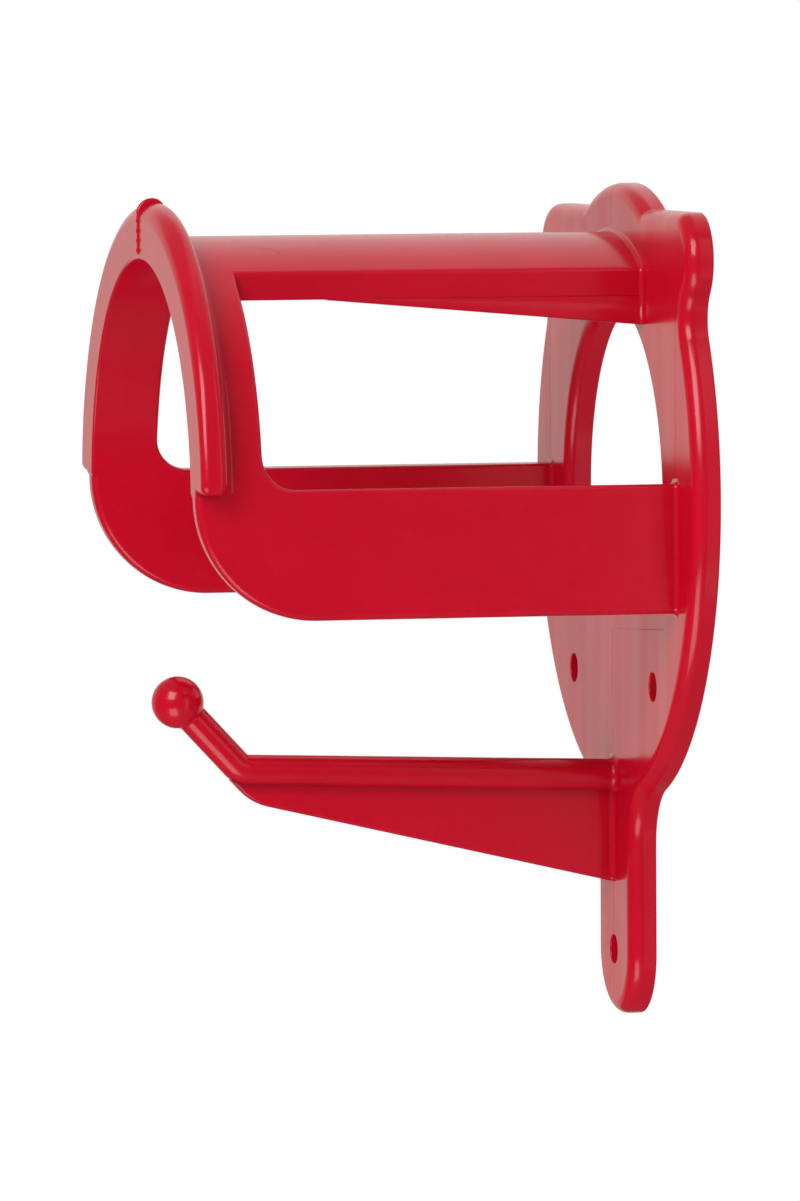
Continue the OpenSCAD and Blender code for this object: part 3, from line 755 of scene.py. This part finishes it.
# Camera: the fitted view of the photograph; focal and imageWidth are in pixels, other lengths in mm
cameraSet = {"azimuth": 76.528, "elevation": 3.3687, "roll": 0.319, "distance": 2222.2222,
             "shiftX": 51.8183, "shiftY": -16.4428, "focal": 10270.7137, "imageWidth": 800, "sensor": 36,
             "clip": (100, 50000)}


# Back points from the rack to the camera, by azimuth and elevation; right and up are square to it, rolled
def addCamera(k):
    az, el, roll = (math.radians(k[key]) for key in ("azimuth", "elevation", "roll"))
    back = Vector((math.sin(az) * math.cos(el), -math.cos(az) * math.cos(el), math.sin(el)))
    level = Vector((math.cos(az), math.sin(az), 0))
    steep = back.cross(level)
    right = level * math.cos(roll) - steep * math.sin(roll)
    up = steep * math.cos(roll) + level * math.sin(roll)
    place = (back * k["distance"] - right * k["shiftX"] - up * k["shiftY"]) * mm
    data = bpy.data.cameras.new("camera")
    data.sensor_fit = "HORIZONTAL"
    data.sensor_width = k["sensor"]
    data.lens = k["sensor"] * k["focal"] / k["imageWidth"]
    data.clip_start, data.clip_end = (end * mm for end in k["clip"])
    camera = bpy.data.objects.new("camera", data)
    camera.matrix_world = Matrix.Translation(place) @ Matrix((right, up, back)).transposed().to_4x4()
    bpy.context.scene.collection.objects.link(camera)
    bpy.context.scene.camera = camera


addCamera(cameraSet)

# Light: white surroundings that are dimmer on the camera's side in reflections, and soft lamps.
# Diffuse light runs between two levels towards from, and reflections between two levels towards dark.
# A patch about dim goes down to dimTo, and glossTone tints reflections that come from below toneTurn.
# A lamp is azimuth, elevation, distance, width, height and power, in m and W; no reflection shows a fill.
light = {"from": (0.2, -0.5, 0.84), "diffuse": (0.2, 0.7), "glossTone": (1.0, 0.99, 0.92),
         "toneTurn": (0.1, 0.6), "gloss": (0.83, 0.015), "dark": (0.849, -0.396, -0.35),
         "darkTurn": (-1.05, 0.25), "dim": (-0.5, -0.35, 0.79), "dimTurn": (0.8, 0.93), "dimTo": 0.4,
         "lamps": {"key": (44, 31, 1.15, 0.6, 0.6, 6.2), "low": (47, -37, 0.65, 0.34, 0.34, 0.95),
                   "side": (113, 10, 0.67, 0.2, 1.25, 0.48)},
         "fills": {"back": (-170, 20, 1.2, 0.7, 0.7, 5.5), "left": (-105, 15, 1.2, 0.7, 0.7, 3.5)}}


# Strength is the diffuse level, for glossy rays the reflected level, and 1 where the camera looks at it
def addLight(k):
    world = bpy.data.worlds.new("surroundings")
    bpy.context.scene.world = world
    world.use_nodes = True
    world.node_tree.nodes.clear()
    made = nodeMaker(world.node_tree)
    path = made("ShaderNodeLightPath", {})
    direction = made("ShaderNodeTexCoord", {})["Generated"]

    # Level that goes smoothly between two values as the ray's direction turns towards an axis
    def shaded(axis, turn, ends):
        facing = made("ShaderNodeVectorMath", {0: direction, 1: Vector(axis).normalized()},
                      operation="DOT_PRODUCT")["Value"]
        return made("ShaderNodeMapRange", {"Value": facing, "From Min": turn[0], "From Max": turn[1],
                                           "To Min": ends[0], "To Max": ends[1]},
                    interpolation_type="SMOOTHSTEP")["Result"]

    # a with a share of b
    def mix(share, a, b):
        return made("ShaderNodeMix", {"Factor": share, "A": a, "B": b}, data_type="FLOAT")["Result"]

    # a times b
    def times(a, b):
        return made("ShaderNodeMath", {0: a, 1: b}, operation="MULTIPLY")[0]

    glossy = path["Is Glossy Ray"]
    reflected = times(shaded(k["dark"], k["darkTurn"], k["gloss"]),
                      shaded(k["dim"], k["dimTurn"], (1, k["dimTo"])))
    strength = mix(glossy, shaded(k["from"], (-1, 1), k["diffuse"]), reflected)
    strength = mix(path["Is Transmission Ray"], strength, 1.0)
    strength = mix(path["Is Camera Ray"], strength, 1.0)
    warm = times(glossy, shaded((0, 0, 1), k["toneTurn"], (1, 0)))
    tone = made("ShaderNodeMix", {"Factor": warm, "A": (1, 1, 1, 1), "B": (*k["glossTone"], 1)},
                data_type="RGBA")["Result"]
    shade = made("ShaderNodeBackground", {"Color": tone, "Strength": strength})["Background"]
    made("ShaderNodeOutputWorld", {"Surface": shade})
    for name, (azimuth, elevation, distance, wide, high, power) in {**k["lamps"], **k["fills"]}.items():
        level, rise = ray(azimuth), ray(elevation)
        away = Vector((level[1] * rise[0], -level[0] * rise[0], rise[1]))
        data = bpy.data.lights.new(name, "AREA")
        data.shape, data.energy, data.size, data.size_y = "RECTANGLE", power, wide, high
        lamp = bpy.data.objects.new(name, data)
        turned = away.to_track_quat("Z", "Y").to_matrix().to_4x4()
        lamp.matrix_world = Matrix.Translation(away * distance) @ turned
        lamp.visible_camera = False
        lamp.visible_glossy = name in k["lamps"]
        bpy.context.scene.collection.objects.link(lamp)


addLight(light)

# Floor: a pale disc under the rack, below the camera's picture; lengths in m
floor = {"z": -0.55, "r": 1.0, "turn": 5, "tone": (0.85, 0.87), "cloudScale": 3, "rough": 0.9,
         "glossTone": 0.08, "fade": (0.3, 0.95)}


# Disc of points on a circle; for the camera it fades to white with distance, and from below it is clear.
# In reflections its colour is dark, a painted shade in the rack's reflection of the floor.
def addFloor(k):
    circle = k["r"] * ray(np.arange(0, 360, k["turn"]))
    mesh = bpy.data.meshes.new("floor")
    mesh.from_pydata(np.insert(circle, 2, k["z"], axis=1), [], [list(range(len(circle)))])
    material = bpy.data.materials.new("floor_paint")
    material.use_nodes = True
    tree = material.node_tree
    made = nodeMaker(tree)
    where = made("ShaderNodeTexCoord", {})["Object"]
    path = made("ShaderNodeLightPath", {})
    cloud = made("ShaderNodeTexNoise", {"Vector": where, "Scale": k["cloudScale"]})["Fac"]
    tone = made("ShaderNodeMapRange", {"Value": cloud, "To Min": k["tone"][0],
                                       "To Max": k["tone"][1]})["Result"]
    # Painted shade in reflections: to glossy rays the pale floor takes the near black glossTone
    seen = made("ShaderNodeMix", {"Factor": path["Is Glossy Ray"], "A": tone, "B": k["glossTone"]},
                data_type="FLOAT")["Result"]
    paint = tree.nodes["Principled BSDF"]
    tree.links.new(seen, paint.inputs["Base Color"])
    paint.inputs["Roughness"].default_value = k["rough"]
    away = made("ShaderNodeVectorMath", {0: where}, operation="LENGTH")["Value"]
    fade = made("ShaderNodeMapRange", {"Value": away, "From Min": k["fade"][0], "From Max": k["fade"][1]},
                interpolation_type="SMOOTHSTEP")["Result"]
    faded = made("ShaderNodeMath", {0: fade, 1: path["Is Camera Ray"]}, operation="MULTIPLY")[0]
    white, clear = made("ShaderNodeEmission", {})[0], made("ShaderNodeBsdfTransparent", {})[0]
    under = made("ShaderNodeNewGeometry", {})["Backfacing"]
    above = made("ShaderNodeMixShader", {0: faded, 1: paint.outputs[0], 2: white})[0]
    shown = made("ShaderNodeMixShader", {0: under, 1: above, 2: clear})[0]
    tree.links.new(shown, tree.nodes["Material Output"].inputs["Surface"])
    mesh.materials.append(material)
    ground = bpy.data.objects.new("floor", mesh)
    bpy.context.scene.collection.objects.link(ground)


addFloor(floor)
bpy.context.scene.view_settings.view_transform = "Standard"
print("stage 8: camera, light and floor set")
